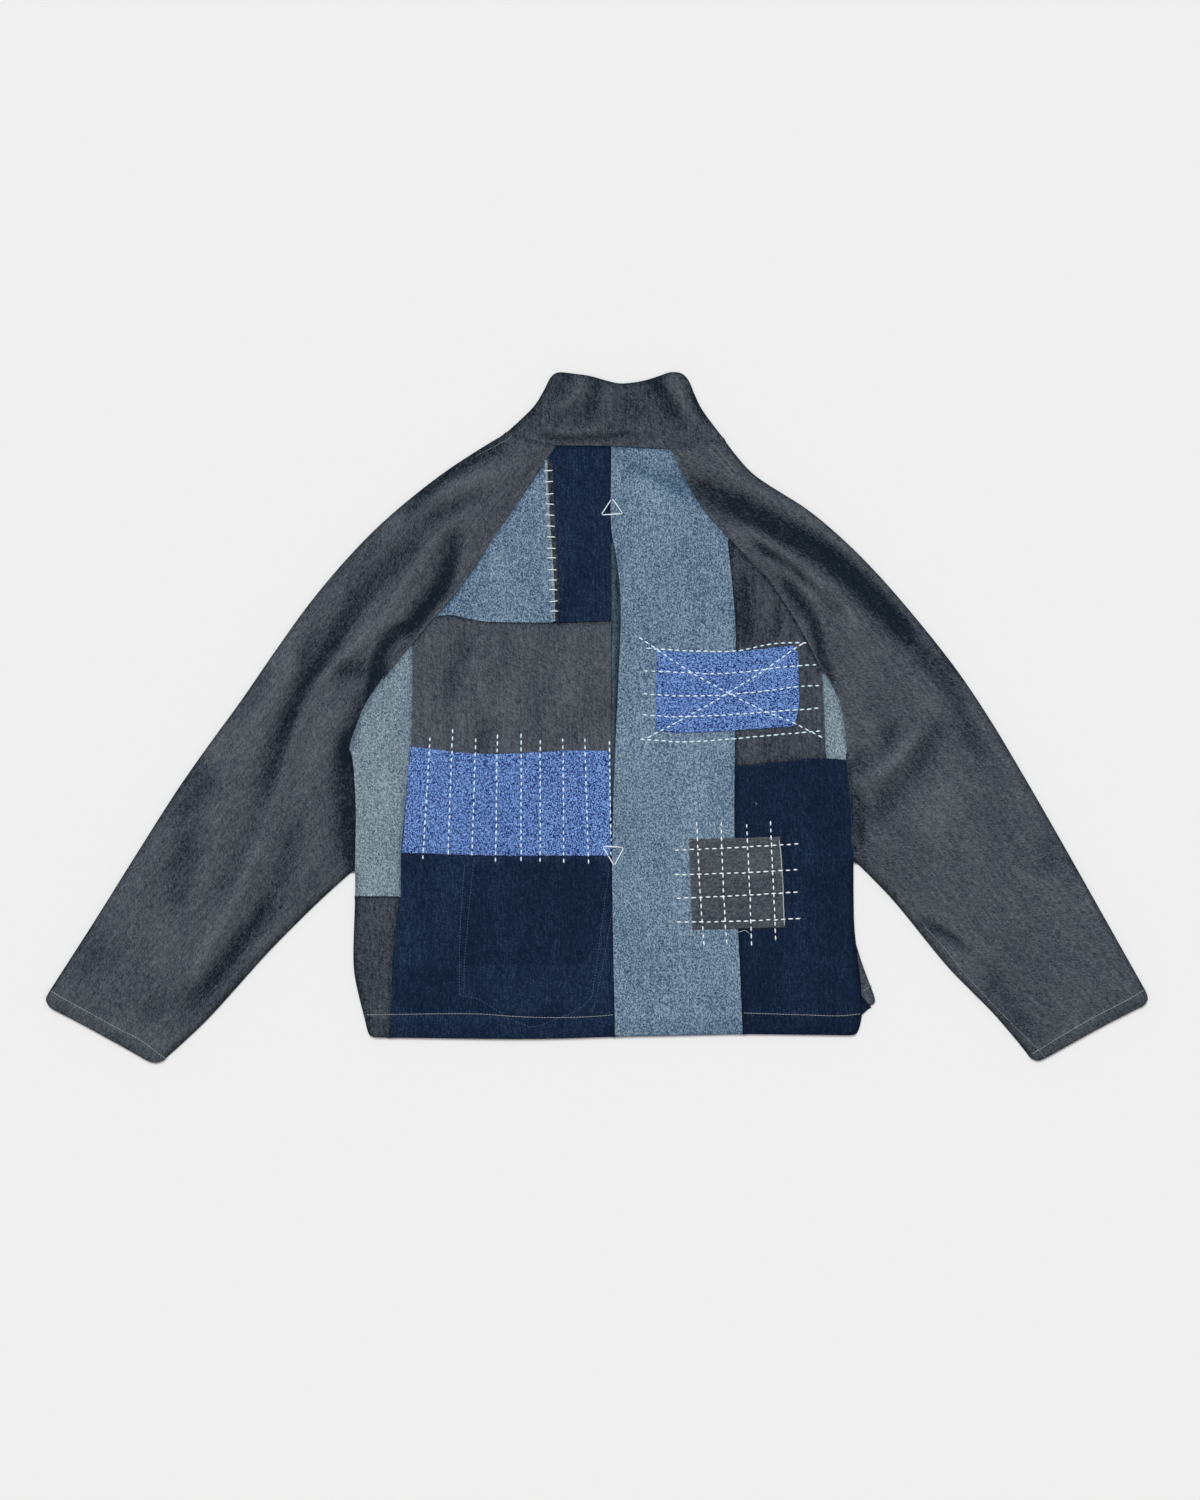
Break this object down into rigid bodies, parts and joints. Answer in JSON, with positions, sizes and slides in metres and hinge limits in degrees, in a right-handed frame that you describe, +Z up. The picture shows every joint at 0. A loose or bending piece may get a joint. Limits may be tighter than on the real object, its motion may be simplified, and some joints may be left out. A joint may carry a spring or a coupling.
{
  "type": "patched boro jacket",
  "caption": "Patched boro jacket of pieced denim with a funnel collar and raglan sleeves, laid flat with its back up; soft folds, an open back pleat and sewn-on patches.",
  "frame": {"origin": "middle of the jacket's width and length, on the surface that it lies on", "axes": "+X towards the wearer's right sleeve, +Y towards the collar, +Z up from the surface; the back faces up"},
  "size_m": [1.216, 0.762, 0.0125],
  "materials": {
    "charcoal_denim": "matt washed twill with a slight slub",
    "navy_denim": "matt dark indigo twill",
    "light_denim": "matt faded blue twill, speckled",
    "pale_denim": "matt bleached grey-blue twill",
    "bright_cloth": "bright blue cloth with a dark fleck"
  },
  "bodies": {
    "root": {"collar": "charcoal_denim", "sleeve_left_back": "charcoal_denim", "sleeve_left_front": "charcoal_denim", "sleeve_right_back": "charcoal_denim", "sleeve_right_front": "charcoal_denim", "back_left_light": "light_denim", "back_left_navy_strip": "navy_denim", "back_left_charcoal": "charcoal_denim", "back_left_navy": "navy_denim", "side_left_pale": "pale_denim", "side_left_charcoal": "charcoal_denim", "centre_pleat": "charcoal_denim", "back_right_light": "light_denim", "back_right_charcoal": "charcoal_denim", "side_right_pale": "pale_denim", "back_right_navy": "navy_denim", "patch_band": "bright_cloth", "patch_blue": "bright_cloth", "patch_charcoal": "charcoal_denim", "front_left": "charcoal_denim", "front_right": "navy_denim", "front_right_side": "charcoal_denim"}
  },
  "joints": []
}
